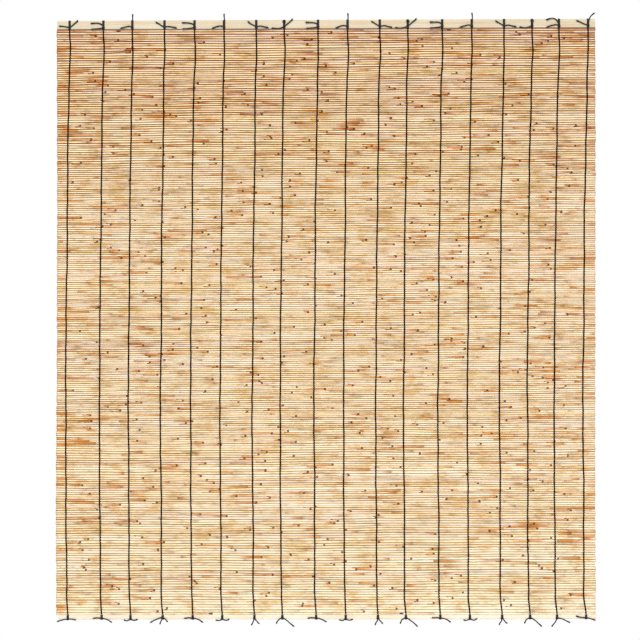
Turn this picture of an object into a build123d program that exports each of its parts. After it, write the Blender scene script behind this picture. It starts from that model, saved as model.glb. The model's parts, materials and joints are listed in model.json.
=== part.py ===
from build123d import *

import math
import os

# A roll-up blind of natural reed, hanging straight down and fully unrolled.
# X runs along its width, Y from front to back and Z up. The origin is the middle of the
# top slat's back face, which lies against a lintel or a window frame. Sizes are in mm.

# The whole blind
BLIND_WIDTH = 1000.0
BLIND_DROP = 1115.0  # room from the top slat's upper edge to the bottom slat's lower edge

# The two laths
SLAT_THICKNESS = 4.0
TOP_SLAT_HEIGHT = 17.0
BOTTOM_SLAT_HEIGHT = 8.0
SLAT_EDGE_RADIUS = 1.6

# The reeds
REED_PITCH = 4.12
REED_RADIUS = 1.85
WEB_THICKNESS = 1.2  # how thick the mat is in the valley between two reeds
HINGE_GAP = 0.9  # between a lath and the reed next to it

# Slits that light falls through, in the valleys between reeds
SLIT_COUNT = 60
SLIT_HEIGHT = 0.6
SLIT_SHORTEST = 50.0
SLIT_LONGEST = 190.0
SLIT_END_MARGIN = 20.0

# The black twine
TWINE_WIDTH = 1.6
TWINE_THICKNESS = 1.0
RUNG_HEIGHT = 0.5  # a strand squeezed between two reeds, where the twine is laced through
RUNG_PLAY = 0.2  # free room round it
CLEARANCE = 0.05  # between the twine and what it is wound on
LEFT_MARGIN = 23.6
RIGHT_MARGIN = 13.3
# Uneven steps from one twine to the next, spread over the width between the margins
TWINE_STEPS = (63, 54, 60, 56, 55, 60, 52, 63, 55, 60, 52, 64, 55, 60, 52, 50, 54)
# How far the twines lean to the left on their way down: share of the drop, shift in mm
TWINE_LEAN = ((0.0, 0.0), (0.3, -5.2), (0.63, -9.4), (0.97, -8.2), (1.0, -6.1))

# The ties round the laths
TIE_WIDTH = 2.4
SEAT_DEPTH = 0.3  # how far a tie has bitten into its lath
SEAT_PLAY = 0.2  # on each side of the tie
HINGE_SETBACK = 1.5  # from a hinge line to where the twine starts on either side
KNOT_RADIUS = 1.7
TOP_KNOT_ABOVE_EDGE = 4.5
TAIL_RADIUS = 0.65
TAIL_STAND_OFF = 0.4  # from the lath's front face to a tail

# A tail's bend and end, in mm to the right of the knot and up from it
TOP_TAILS = {
    "a": (((-8.0, 1.4), (-19.0, 3.0)), ((7.0, 4.0), (15.3, 13.2))),
    "b": (((-2.0, 8.4), (-23.0, 7.4)), ((-6.0, -3.0), (-22.0, -3.4))),
    "c": (((1.4, 10.0), (0.3, 24.0)), ((-7.0, 3.6), (-22.0, -3.2))),
    "d": (((-7.0, 3.6), (-15.6, 9.4)), ((9.0, 2.2), (22.4, -2.2))),
    "e": (((-10.0, -4.6), (-23.0, -2.8)), ((6.5, 5.0), (16.0, 14.4))),
    "f": (((-4.5, 17.0), (-24.0, 10.8)), ((-7.0, 3.6), (-23.0, -3.8))),
    "g": (((-9.0, 3.6), (-21.6, 9.3)), ((0.8, 14.0), (11.5, 23.0))),
    "h": (((-10.0, -4.6), (-23.0, -2.8)), ((1.2, 5.0), (0.6, 11.5))),
}
TOP_TIE_ORDER = "abcdbcdebcdebcdhfg"
BOTTOM_TAILS = {
    "a": (((-9.0, -0.5), (-19.4, -4.7)), ((8.0, 0.5), (14.9, -1.9))),
    "b": (((-7.0, 1.2), (-15.3, 0.2)), ((9.0, -0.8), (19.0, -7.4))),
    "c": (((-6.0, -4.0), (-11.7, -1.9)), ((7.0, -4.0), (13.0, 0.0))),
    "d": (((-10.0, -2.5), (-22.7, -10.0)), ((4.5, -3.0), (9.5, -8.6)), ((-2.2, -6.0), (-5.2, -12.5))),
    "e": (((-1.6, -6.0), (-5.8, -12.5)), ((3.5, -5.0), (9.1, -10.0))),
    "f": (((-8.5, -4.0), (-10.8, -11.0)), ((9.0, -5.0), (21.5, -16.5))),
    "g": (((-3.0, -8.0), (-10.2, -16.0)), ((12.0, -2.0), (23.5, -8.8))),
    "h": (((-9.0, 0.6), (-18.6, 3.4)), ((8.0, -0.8), (16.6, -4.8))),
}
BOTTOM_TIE_ORDER = "abcdbcefbcefbcefgh"
# How far each kind of bottom knot sits above the lath's lower edge
BOTTOM_KNOTS_ABOVE_EDGE = {"a": 1.0, "b": 2.5, "c": 1.0, "d": 4.5, "e": 2.5, "f": 3.5, "g": 2.5, "h": 2.5}

# Places worked out from the sizes
MIDDLE_Y = -SLAT_THICKNESS / 2
TOP_SLAT_Z = 0.0
TOP_HINGE_Z = TOP_SLAT_Z - TOP_SLAT_HEIGHT / 2 - HINGE_GAP / 2
FIRST_REED_Z = TOP_HINGE_Z - HINGE_GAP / 2 - REED_RADIUS
MAT_ROOM = BLIND_DROP - TOP_SLAT_HEIGHT - BOTTOM_SLAT_HEIGHT - 2 * HINGE_GAP
REED_COUNT = int((MAT_ROOM - 2 * REED_RADIUS) / REED_PITCH) + 1
LAST_REED_Z = FIRST_REED_Z - (REED_COUNT - 1) * REED_PITCH
BOTTOM_HINGE_Z = LAST_REED_Z - REED_RADIUS - HINGE_GAP / 2
BOTTOM_SLAT_Z = BOTTOM_HINGE_Z - HINGE_GAP / 2 - BOTTOM_SLAT_HEIGHT / 2
TWINE_TOP_Z = TOP_HINGE_Z - HINGE_SETBACK
TWINE_FOOT_Z = BOTTOM_HINGE_Z + HINGE_SETBACK
CREST_HALF = REED_RADIUS * math.tan(math.radians(22.5))
GOLDEN = (math.sqrt(5) - 1) / 2
PLASTIC = 0.7548776662  # with GOLDEN, scatters the slits evenly over the mat


def twine_places():
    """The x of every twine at the head: the steps, stretched to fill the width between the margins."""
    free = BLIND_WIDTH - LEFT_MARGIN - RIGHT_MARGIN
    unit = free / sum(TWINE_STEPS)
    places = [LEFT_MARGIN - BLIND_WIDTH / 2]
    for step in TWINE_STEPS:
        places.append(places[-1] + step * unit)
    return places


def lean_at(z):
    """How far a twine has drifted sideways at height z, straight between the listed points."""
    share = (TOP_HINGE_Z - z) / (TOP_HINGE_Z - BOTTOM_HINGE_Z)
    share = min(max(share, 0.0), 1.0)
    for (above, shift_above), (below, shift_below) in zip(TWINE_LEAN, TWINE_LEAN[1:]):
        if share <= below:
            return shift_above + (shift_below - shift_above) * (share - above) / (below - above)
    return TWINE_LEAN[-1][1]


def prism(section, x, width):
    """A section drawn in Y and Z, extruded along X and centred on x."""
    return extrude(Plane.YZ.offset(x - width / 2) * section, amount=width)


def block(x, y, z, width, depth, height):
    """A plain block centred on a point."""
    return Pos(x, y, z) * Box(width, depth, height)


def lath_section(height, centre_z, grow=0.0):
    """A lath's rounded section, grown outwards by an amount or shrunk by a negative one."""
    outline = RectangleRounded(SLAT_THICKNESS + 2 * grow, height + 2 * grow, SLAT_EDGE_RADIUS + grow)
    return Pos(MIDDLE_Y, centre_z) * outline


def make_lath(height, centre_z, tie_places):
    """A lath with a shallow seat all round it under each tie."""
    lath = prism(lath_section(height, centre_z), 0.0, BLIND_WIDTH)
    width = TIE_WIDTH + 2 * SEAT_PLAY
    seats = []
    for x in tie_places:
        sleeve = prism(lath_section(height, centre_z, SEAT_DEPTH), x, width)
        core = prism(lath_section(height, centre_z, -SEAT_DEPTH), x, width)
        seats.append(sleeve - core)
    return lath - seats


def mat_section():
    """The mat's ridged section: three flat facets on each side of every reed, and round ends."""
    face_side = []
    for number in range(REED_COUNT):
        z = FIRST_REED_Z - number * REED_PITCH
        face_side.append((REED_RADIUS, z + CREST_HALF))
        face_side.append((REED_RADIUS, z - CREST_HALF))
        if number < REED_COUNT - 1:
            face_side.append((WEB_THICKNESS / 2, z - REED_PITCH / 2))
    face_side.insert(0, (CREST_HALF, FIRST_REED_Z + REED_RADIUS))
    face_side.append((CREST_HALF, LAST_REED_Z - REED_RADIUS))
    front = [(MIDDLE_Y - out, z) for out, z in face_side]
    back = [(MIDDLE_Y + out, z) for out, z in reversed(face_side)]
    return make_face(Polyline(*front, *back, close=True))


def valley_z(valley):
    """The z of a valley between two reeds, counted from the top."""
    return FIRST_REED_Z - (valley + 0.5) * REED_PITCH


def laced_valleys():
    """The three valleys where every twine is laced through: the first, the middle and the last."""
    return (0, (REED_COUNT - 1) // 2, REED_COUNT - 2)


def make_mat(places):
    """The reeds as one ridged wall, with the slits for light and the holes for the twines."""
    depth = 2 * SLAT_THICKNESS
    cuts = []
    for z in map(valley_z, laced_valleys()):
        for x in places:
            width = TWINE_WIDTH + 2 * RUNG_PLAY
            cuts.append(block(x + lean_at(z), MIDDLE_Y, z, width, depth, RUNG_HEIGHT + 2 * RUNG_PLAY))
    for number in range(SLIT_COUNT):
        length = SLIT_SHORTEST + (SLIT_LONGEST - SLIT_SHORTEST) * (number * GOLDEN % 1.0) ** 2
        valley = 1 + int((number * PLASTIC % 1.0) * (REED_COUNT - 3))
        free = BLIND_WIDTH - length - 2 * SLIT_END_MARGIN
        x = ((number + 0.5) * GOLDEN * GOLDEN % 1.0 - 0.5) * free
        if valley not in laced_valleys():
            cuts.append(block(x, MIDDLE_Y, valley_z(valley), length, depth, SLIT_HEIGHT))
    return prism(mat_section(), 0.0, BLIND_WIDTH) - cuts


def make_twine(x):
    """One twine: a strand down the front, one down the back, and the rungs that join them."""
    levels = [TWINE_TOP_Z]
    for share, _ in TWINE_LEAN[1:-1]:
        levels.append(TOP_HINGE_Z - share * (TOP_HINGE_Z - BOTTOM_HINGE_Z))
    levels.append(TWINE_FOOT_Z)
    left = [(x + lean_at(z) - TWINE_WIDTH / 2, z) for z in levels]
    right = [(x + lean_at(z) + TWINE_WIDTH / 2, z) for z in reversed(levels)]
    strip = make_face(Polyline(*left, *right, close=True))
    inner = REED_RADIUS + CLEARANCE
    front = extrude(Plane.XZ.offset(inner - MIDDLE_Y) * strip, amount=TWINE_THICKNESS)
    back = extrude(Plane.XZ.offset(-MIDDLE_Y - inner - TWINE_THICKNESS) * strip, amount=TWINE_THICKNESS)
    rungs = []
    for z in map(valley_z, laced_valleys()):
        rungs.append(block(x + lean_at(z), MIDDLE_Y, z, TWINE_WIDTH, 2 * inner + TWINE_THICKNESS, RUNG_HEIGHT))
    return front + [back, *rungs]


def tail(start, bend, end, y):
    """A cut end of twine: two runs in a plane in front of the lath, joined by their widest arc."""
    points = [Vector(start[0], y, start[1])]
    for side, up in (bend, end):
        points.append(Vector(start[0] + side, y, start[1] + up))
    first = points[1] - points[0]
    second = points[2] - points[1]
    turn = math.radians(first.get_angle(second))
    radius = 0.45 * min(first.length, second.length) / math.tan(turn / 2)
    path = FilletPolyline(*points, radius=radius)
    start_plane = Plane(origin=path @ 0, z_dir=path % 0)
    return sweep(start_plane * Circle(TAIL_RADIUS), path=path)


def make_tie(x, height, centre_z, knot_z, kept_from, kept_to, tails):
    """A turn of twine round a lath, open towards the mat, with its knot and its cut tails."""
    outside = TWINE_THICKNESS + CLEARANCE - SEAT_DEPTH
    sleeve = prism(lath_section(height, centre_z, outside), x, TIE_WIDTH)
    core = prism(lath_section(height, centre_z, CLEARANCE - SEAT_DEPTH), x, TIE_WIDTH)
    kept = block(x, MIDDLE_Y, (kept_from + kept_to) / 2, TIE_WIDTH, 4 * SLAT_THICKNESS, kept_to - kept_from)
    band = (sleeve - core) & kept
    front_y = -SLAT_THICKNESS
    knot = Pos(x, front_y - outside, knot_z) * Sphere(KNOT_RADIUS)
    swollen = prism(lath_section(height, centre_z, CLEARANCE), x, 4 * KNOT_RADIUS)
    knot = knot - swollen
    tail_y = front_y - TAIL_STAND_OFF - TAIL_RADIUS
    ends = [tail((x, knot_z), bend, end, tail_y) for bend, end in tails]
    return band + [knot, *ends]


def make_top_tie(x, number):
    """A tie over the top slat. It stops short of the hinge line below."""
    edge = TOP_SLAT_Z - TOP_SLAT_HEIGHT / 2
    tails = TOP_TAILS[TOP_TIE_ORDER[number % len(TOP_TIE_ORDER)]]
    low = TOP_HINGE_Z + HINGE_SETBACK
    high = TOP_SLAT_Z + TOP_SLAT_HEIGHT
    return make_tie(x, TOP_SLAT_HEIGHT, TOP_SLAT_Z, edge + TOP_KNOT_ABOVE_EDGE, low, high, tails)


def make_bottom_tie(x, number):
    """A tie under the bottom slat. It stops short of the hinge line above."""
    edge = BOTTOM_SLAT_Z - BOTTOM_SLAT_HEIGHT / 2
    kind = BOTTOM_TIE_ORDER[number % len(BOTTOM_TIE_ORDER)]
    knot_z = edge + BOTTOM_KNOTS_ABOVE_EDGE[kind]
    low = BOTTOM_SLAT_Z - BOTTOM_SLAT_HEIGHT
    high = BOTTOM_HINGE_Z - HINGE_SETBACK
    return make_tie(x, BOTTOM_SLAT_HEIGHT, BOTTOM_SLAT_Z, knot_z, low, high, BOTTOM_TAILS[kind])


def make_pieces():
    """Every piece of the blind under its own name."""
    places = twine_places()
    foot_places = [x + lean_at(BOTTOM_HINGE_Z) for x in places]
    pieces = {
        "top_slat": make_lath(TOP_SLAT_HEIGHT, TOP_SLAT_Z, places),
        "reed_mat": make_mat(places),
        "bottom_slat": make_lath(BOTTOM_SLAT_HEIGHT, BOTTOM_SLAT_Z, foot_places),
    }
    for number, (x, foot_x) in enumerate(zip(places, foot_places)):
        pieces[f"top_tie_{number + 1:02d}"] = make_top_tie(x, number)
        pieces[f"twine_{number + 1:02d}"] = make_twine(x)
        pieces[f"bottom_tie_{number + 1:02d}"] = make_bottom_tie(foot_x, number)
    return pieces


def main():
    os.makedirs("parts", exist_ok=True)
    for name, piece in make_pieces().items():
        export_step(piece, f"parts/{name}.step")
    print(f"{REED_COUNT} reeds, hinge lines at z {TOP_HINGE_Z:.3f} and {BOTTOM_HINGE_Z:.3f} mm")


main()
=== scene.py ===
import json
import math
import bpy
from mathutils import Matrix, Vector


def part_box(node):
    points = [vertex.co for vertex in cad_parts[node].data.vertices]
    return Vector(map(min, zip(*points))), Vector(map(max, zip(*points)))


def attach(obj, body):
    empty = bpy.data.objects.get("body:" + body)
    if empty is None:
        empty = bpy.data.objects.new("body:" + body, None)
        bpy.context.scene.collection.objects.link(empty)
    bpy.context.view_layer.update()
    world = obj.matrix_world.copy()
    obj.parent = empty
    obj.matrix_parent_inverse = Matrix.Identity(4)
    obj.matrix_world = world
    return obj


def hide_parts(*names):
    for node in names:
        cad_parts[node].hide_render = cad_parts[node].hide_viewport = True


bl_info = {
    "name": "Reed roll-up blind",
    "version": (1, 0, 0),
    "blender": (4, 5, 0),
    "location": "3D View > Sidebar > Reed blind",
    "description": "Dresses a reed blind with its stems, warp twines, ties and laths, and sets its stage",
    "category": "Add Mesh",
}

from typing import NamedTuple

import bpy
import numpy as np
from bpy.props import FloatProperty, FloatVectorProperty, IntProperty, PointerProperty
from mathutils import Matrix, Vector

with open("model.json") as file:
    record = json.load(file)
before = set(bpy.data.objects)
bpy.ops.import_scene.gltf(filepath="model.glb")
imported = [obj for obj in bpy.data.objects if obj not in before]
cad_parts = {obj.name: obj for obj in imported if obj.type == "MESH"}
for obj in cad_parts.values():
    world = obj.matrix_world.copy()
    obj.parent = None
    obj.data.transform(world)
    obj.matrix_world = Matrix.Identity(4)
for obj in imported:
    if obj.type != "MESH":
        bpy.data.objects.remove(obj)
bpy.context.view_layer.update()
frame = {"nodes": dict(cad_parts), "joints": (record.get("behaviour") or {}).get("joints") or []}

# The photograph's frame
PICTURE_SIDE = 640
PIXEL = 0.001858  # metres of blind to one pixel
SLAT_TOP_ROW = 19.8  # the pixel row of the top slat's upper edge
BLIND_MIDDLE_COLUMN = 326.45

MM = 0.001


def corners_of(node):
    """A node's lowest and highest corner as two arrays."""
    low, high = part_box(node)
    return np.array(low), np.array(high)


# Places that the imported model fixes
SLAT_LOW, SLAT_HIGH = corners_of("top_slat")
MAT_LOW, MAT_HIGH = corners_of("reed_mat")
FOOT_LOW, FOOT_HIGH = corners_of("bottom_slat")
MIDDLE_Y = (SLAT_LOW[1] + SLAT_HIGH[1]) / 2
FRONT_Y = SLAT_LOW[1]
HINGE_Z = {joint["name"]: joint["pos_m"][2] for joint in frame["joints"]}
TOP_HINGE_Z = HINGE_Z["mat_swing"]
FOOT_HINGE_Z = HINGE_Z["bottom_slat_swing"]
TWINE_NODES = sorted(name for name in frame["nodes"] if name.startswith("twine_"))
# Every twine leans to the left, so the right side of its box is where it starts at the top
CAD_TWINE_WIDTH = 1.6 * MM
TWINE_X = np.array([corners_of(name)[1][0] for name in TWINE_NODES]) - CAD_TWINE_WIDTH / 2

# The twines' lean to the left on their way down: share of the drop, shift in metres
LEAN_SHARES = (0.0, 0.3, 0.63, 0.97, 1.0)
LEAN_SHIFTS = (0.0, -0.0052, -0.0094, -0.0082, -0.0061)

# The tails of each kind of tie: a tail's bend and end, in millimetres to the right of the knot and up
TOP_TAILS = {
    "a": (((-8.0, 1.4), (-19.0, 3.0)), ((7.0, 4.0), (15.3, 13.2))),
    "b": (((-2.0, 8.4), (-23.0, 7.4)), ((-6.0, -3.0), (-22.0, -3.4))),
    "c": (((1.4, 10.0), (0.3, 24.0)), ((-7.0, 3.6), (-22.0, -3.2))),
    "d": (((-7.0, 3.6), (-15.6, 9.4)), ((9.0, 2.2), (22.4, -2.2))),
    "e": (((-10.0, -4.6), (-23.0, -2.8)), ((6.5, 5.0), (16.0, 14.4))),
    "f": (((-4.5, 17.0), (-24.0, 10.8)), ((-7.0, 3.6), (-23.0, -3.8))),
    "g": (((-9.0, 3.6), (-21.6, 9.3)), ((0.8, 14.0), (11.5, 23.0))),
    "h": (((-10.0, -4.6), (-23.0, -2.8)), ((1.2, 5.0), (0.6, 11.5))),
}
FOOT_TAILS = {
    "a": (((-9.0, -0.5), (-19.4, -4.7)), ((8.0, 0.5), (14.9, -1.9))),
    "b": (((-7.0, 1.2), (-15.3, 0.2)), ((9.0, -0.8), (19.0, -7.4))),
    "c": (((-6.0, -4.0), (-11.7, -1.9)), ((7.0, -4.0), (13.0, 0.0))),
    "d": (((-10.0, -2.5), (-22.7, -10.0)), ((4.5, -3.0), (9.5, -8.6)), ((-2.2, -6.0), (-5.2, -12.5))),
    "e": (((-1.6, -6.0), (-5.8, -12.5)), ((3.5, -5.0), (9.1, -10.0))),
    "f": (((-8.5, -4.0), (-10.8, -11.0)), ((9.0, -5.0), (21.5, -16.5))),
    "g": (((-3.0, -8.0), (-10.2, -16.0)), ((12.0, -2.0), (23.5, -8.8))),
    "h": (((-9.0, 0.6), (-18.6, 3.4)), ((8.0, -0.8), (16.6, -4.8))),
}

# The kind of every tie, from left to right
TOP_TIE_ORDER = "abcdbcdebcdebcdhfg"
FOOT_TIE_ORDER = "abcdbcefbcefbcefgh"
KNOBBED_TIES = "eh"  # kinds of top tie with a second, larger knot at the slat's upper edge

# Knots
TOP_KNOT_ABOVE_EDGE = 4.5 * MM
# How far each kind of foot knot sits above the lath's lower edge, in millimetres
FOOT_KNOTS_ABOVE_EDGE = {"a": 1.0, "b": 2.5, "c": 1.0, "d": 4.5, "e": 2.5, "f": 3.5, "g": 2.5, "h": 2.5}
KNOT_STAND_OFF = 1.2 * MM  # from a lath's front face to the middle of a knot
KNOT_SIZES = (0.92, 1.12)  # least and greatest
KNOB_SIZE = 1.3
KNOB_BELOW_EDGE = 3.4 * MM
KNOT_RING = 1.4 * MM  # radius of the ring that a knot winds round
KNOT_WINDING = 0.7 * MM  # radius of the winding
KNOT_TWINE = (0.78 * MM, 0.72 * MM)  # half width and half thickness

# Loops round the laths
LATH_EDGE_RADIUS = 1.6 * MM
LOOP_SEAT = 0.3 * MM  # how far a loop has bitten into its lath
LOOP_HEIGHT = 0.5 * MM  # from where it has bitten to the middle of its twine
LOOP_APART = 1.1 * MM  # from a tie's middle to each of its two turns
LOOP_TWINE = (0.6 * MM, 1.2 * MM)  # half its depth and half its width

# Tails
TAIL_PULL = 1.6  # how strongly a tail is drawn to its bend
TAIL_RADIUS = 1.15 * MM
TAIL_WAVE = 0.35 * MM
TAIL_WAVE_TURNS = 1.3  # over its length
TAIL_RIPPLE = 0.2 * MM
TAIL_RIPPLE_ANGLE = 7  # over its length, in radians
TAIL_LIFTS = (0.3, 1.6)  # how far a tail's tip lifts off the lath, least and greatest, in millimetres
PLY_LENGTH = 2.6 * MM  # one turn of the twine's two plies
PLY_RELIEF = 0.13
LOOSENING = 0.25  # how much thicker the twine is at a cut tip
LOOSE_FROM = 0.7  # share of its length where it starts to loosen
LOOSE_RUN = 0.2  # share of its length over which it does

# Loose fibres past a tail's tip
FIBRE_RADIUS = 0.16 * MM
FIBRE_TAPER = 0.6  # what it loses of its radius towards its end
FIBRE_SPREAD = 0.9 * MM
FIBRE_LENGTHS = (0.8, 2.2)  # least and greatest, in millimetres
FIBRE_ROOT = 0.4 * MM  # how far back in the tail a fibre starts
FIBRE_OFFSET = 0.25 * MM

# Room that the courses, the strands and the ties keep from the hinge lines, so that they can swing
COURSE_SETBACK = 0.05 * MM
TWINE_SETBACK = 0.35 * MM
TIE_SETBACK = 0.25 * MM
# A dark strip that stands in for the shade in the joint under the top slat: its radius, and how far its top
# stands above the hinge line
SHADE_STRIP_RADIUS = 0.4 * MM
SHADE_STRIP_ABOVE_HINGE = 0.15 * MM

# How the mat changes from its first course, 0, to its last, 1: the places, and the values there
THICKNESS_BY_DROP = (0.0, 0.12, 0.3, 0.7, 0.88, 1.0), (1.07, 1.02, 0.95, 0.95, 1.1, 1.14)
SIDE_SHIFT_BY_DROP = (0.0, 0.25, 0.75, 1.0), (0.0, 0.0, -0.0022, -0.0016)
# The stems are darker and more tan at the top, and paler towards the foot
PALENESS_BY_DROP = (0.0, 0.06, 0.2, 0.5, 0.82, 0.95, 1.0), (-0.35, -0.3, -0.12, 0.0, 0.1, 0.35, 0.6)
TONE_BY_DROP = (0.0, 0.08, 0.25, 0.5, 0.8, 1.0), (0.94, 0.95, 0.96, 0.98, 1.04, 1.1)
RUST_BY_DROP = (0.0, 0.3, 1.0), (1.0, 0.6, 0.35)
SHEATHS_BY_DROP = (0.0, 0.15, 0.4, 1.0), (1.2, 1.0, 0.85, 0.6)
# Painted shade in the valleys between courses, deeper and wider towards the top: how sharply it gathers,
# and how deep it is
SHARPNESS_BY_DROP = (0.0, 0.2, 1.0), (1.3, 1.7, 1.9)
PAINTED_SHADE_BY_DROP = (0.0, 0.12, 0.4, 0.95, 1.0), (1.5, 1.22, 0.92, 0.8, 0.5)

# The courses' stray up and down: a slope, and waves of a height in metres that run by so many radians
# a metre across and up, from a start
MAT_SLOPE = 0.0018
MAT_WAVES = ((0.0006, 9.0, 14.0, 0.0), (0.0004, 23.0, -31.0, 1.0), (0.0003, 47.0, 60.0, 2.0))
MAT_CALM = 0.05  # the mat is still at both slats, and free this far from them
MOST_UNEVEN = 1.8  # limit of a course's unevenness, in standard deviations

# Stems, in metres. Where two numbers stand for one size, they are the least and the greatest
STEM_SIDES = 8
MOST_STEMS = 14  # in one course, those that end beyond the mat's sides with them
SHORTEST_PIECE = 0.03  # at the mat's sides
LAPS = (0.004, 0.02)
RAGGEDNESS = 0.0008
LEFT_OVERHANG = 0.0003
FOOT_OVERHANG = 0.002  # what the left side has besides at the foot
OVERHANG_FROM = 0.5  # share of the mat's height where that starts
OVERHANG_RUN = 0.4  # share of the mat's height over which it grows
STEM_THICK_END = 1.03  # its thickness at the left end, as a share of its course's
STEM_TAPER = 0.08  # what it loses of that towards the right end
# A cut end is dark over this length: partly the cut's own colour, partly painted shade where the stems lap
CUT_LENGTH = 0.0036  # the dark end of a cut stem
EVEN_RINGS = np.linspace(0.06, 0.94, 8)  # as shares of a stem's length
TIP_RINGS = np.array([0.0, CUT_LENGTH - 0.2 * MM, CUT_LENGTH + 0.3 * MM, 12.0 * MM])  # from each end
HOLLOW_DEPTHS = (0.0022, 0.0001)  # of its two rings
HOLLOW_SHARES = (0.5, 0.72)  # radii in the hollow, as shares of the stem's
NODE_PLACES = ((0.12, 0.55), (0.45, 0.88))  # earliest and latest share of the length for two nodes
NODE_HALF_WIDTH = 0.0005
NODE_REACH = 0.003
NODE_SWELL = 0.03
LAP_REACHES = (0.02, 0.05)
LAP_RISE = 0.0004
LAP_DEPTH = 0.0005
LAP_THINNING = 0.12
STEM_BOW = 0.00012
SEEDS = (0, 60)  # range of the shift that gives each stem its own grain

# Sheaths: one from each end of a stem and one from each of its nodes
SHEATHS = 4
SHEATH_SHORTEST = 0.010
SHEATH_EXTRA = 0.045
SHEATH_RARITY = 1.5  # above 1, long sheaths are rarer than short ones
RUST_RARITY = 1.7  # above 1, rust is rarer than orange
SHEATH_CHANCES = (0.8, 0.6, 0.6, 0.8)
SHEATH_AT_SIDE = 0.3  # how much rarer one is at a side of the mat
SHEATH_STRENGTHS = (0.35, 1.0)
SHEATH_FULL = 1.15  # above 1, a sheath keeps its full colour for a while
NODE_LINE = 0.0008
NODE_DARKNESS = 0.35
# How far a cut end takes the cut colour, which is partly its own and partly painted shade
CUT_AND_SHADE_DARKNESS = 0.9

# A stem's own colour: weights of cream, straw, tan and rose, and its spread
PALETTE_WEIGHTS = (1.1, 1.3, 0.6, 0.5)
BRIGHTNESSES = (0.93, 1.05)
# Painted shade in the valleys between courses: each valley's luck, its tint and its limits
VALLEY_LUCK = (0.65, 1.15)
VALLEY_TINT = (0.79, 1.0, 1.38)  # how strongly a valley's shade takes red, green and blue
MOST_SHADE = 0.97
MOST_TINTED_SHADE = 0.99

# Twines
RINGS_A_COURSE = 4
STRAND_SQUARENESS = 0.7  # below 1, a strand hugs the stems more closely than a cosine
STRAND_STAND_OFF = 0.8  # from the stems to its middle, as a share of its half thickness
TWINE_WAVES = (3.0, 7.0, 17.0, 31.0)  # how often each wave of its stray runs in a metre
TWINE_WAVE_SIZES = (0.4, 1.0)
TWINE_CALM = 0.03
BOW = 1.6 * MM  # to the right, this far below the top slat and over this reach
BOW_DROP = 0.045
BOW_REACH = 0.03
GATHERING = 1.8 * MM  # to the left, at the rightmost twine and once this far below the slat
GATHERING_DROP = 0.35
TAPERED_RINGS = 2  # at each end of a strand
STRAND_TAPER = 0.5

# Stage
FILM_WIDTH = 36.0
LAMP_SIDE = 1.5
# Each lamp's place in metres: right of the blind's middle, behind its back and above the picture's middle
KEY_PLACE = (-0.5, -2.4, 2.1)
SIDE_PLACE = (1.9, -2.4, 0.4)
BACK_PLACE = (0.7, 2.4, 1.7)
SIDE_SHARE = 0.3  # the side lamp's power as a share of the key lamp's
FLOOR_HALF = 1.5
FLOOR_LINES = 9

VIEWER = (0.0, -1.0, 0.0)  # the way to the viewer
RIGHT = (1.0, 0.0, 0.0)


def colour_property(name, description, red, green, blue):
    """A colour that a user may change, given as it looks on screen, from 0 to 255."""
    return FloatVectorProperty(
        name=name,
        description=description,
        subtype="COLOR_GAMMA",
        size=3,
        min=0.0,
        max=1.0,
        default=(red / 255, green / 255, blue / 255),
    )


class ReedProperties(bpy.types.PropertyGroup):
    """Sizes and colours of the reed stems"""

    pitch: FloatProperty(
        name="Pitch", description="Height of one course", unit="LENGTH", default=0.00412, precision=5
    )
    depth_radius: FloatProperty(
        name="Depth radius", description="Half a stem's depth", unit="LENGTH", default=0.00193, precision=5
    )
    height_swell: FloatProperty(
        name="Height swell", description="A stem's height as a share of its pitch", default=1.0
    )
    unevenness: FloatProperty(
        name="Unevenness", description="Spread of the stems' thickness, as a share", default=0.09
    )
    shortest: FloatProperty(
        name="Shortest stem", description="Least length of a stem", unit="LENGTH", default=0.14
    )
    longest: FloatProperty(
        name="Longest stem", description="Greatest length of a stem", unit="LENGTH", default=0.62
    )
    seed: IntProperty(name="Seed", description="Start of the stems' random numbers", default=7)
    cream: colour_property("Cream", "Palest stems", 254, 244, 231)
    straw: colour_property("Straw", "Most stems", 253, 233, 190)
    tan: colour_property("Tan", "Darker stems", 241, 212, 164)
    rose: colour_property("Rose", "Pinkish stems", 252, 224, 210)
    orange: colour_property("Orange sheath", "Sheath left on a stem", 232, 162, 78)
    rust: colour_property("Rust sheath", "Darkest sheath", 180, 90, 28)
    # Cut ends and their hollows: the cut's own darker colour and painted shade, in one colour
    cut: colour_property("Cut end", "Hollow end of a stem", 104, 50, 8)
    # The colour that the stems turn towards near the foot, where the mat is paler
    paler_foot: colour_property("Bleached", "Stems near the foot", 252, 242, 216)


class TwineProperties(bpy.types.PropertyGroup):
    """Sizes and colour of the black twine"""

    half_width: FloatProperty(
        name="Half width", description="Half a strand's width", unit="LENGTH", default=0.0014, precision=5
    )
    half_thickness: FloatProperty(
        name="Half thickness",
        description="Half a strand's thickness",
        unit="LENGTH",
        default=0.0006,
        precision=5,
    )
    twist: FloatProperty(
        name="Twist",
        description="How far a strand swings sideways",
        unit="LENGTH",
        default=0.0004,
        precision=5,
    )
    wobble: FloatProperty(
        name="Wobble",
        description="How far a twine strays from its line",
        unit="LENGTH",
        default=0.0010,
        precision=5,
    )
    seed: IntProperty(name="Seed", description="Start of the twines' random numbers", default=3)
    black: colour_property("Black", "The twine", 6, 4, 3)


class LathProperties(bpy.types.PropertyGroup):
    """Colours of the two laths"""

    top_pale: colour_property("Top pale", "Pale grain of the top slat", 200, 188, 163)
    top_dark: colour_property("Top dark", "Dark grain of the top slat", 184, 169, 140)
    foot_pale: colour_property("Foot pale", "Pale grain of the bottom slat", 241, 230, 210)
    foot_dark: colour_property("Foot dark", "Dark grain of the bottom slat", 231, 217, 190)


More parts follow.
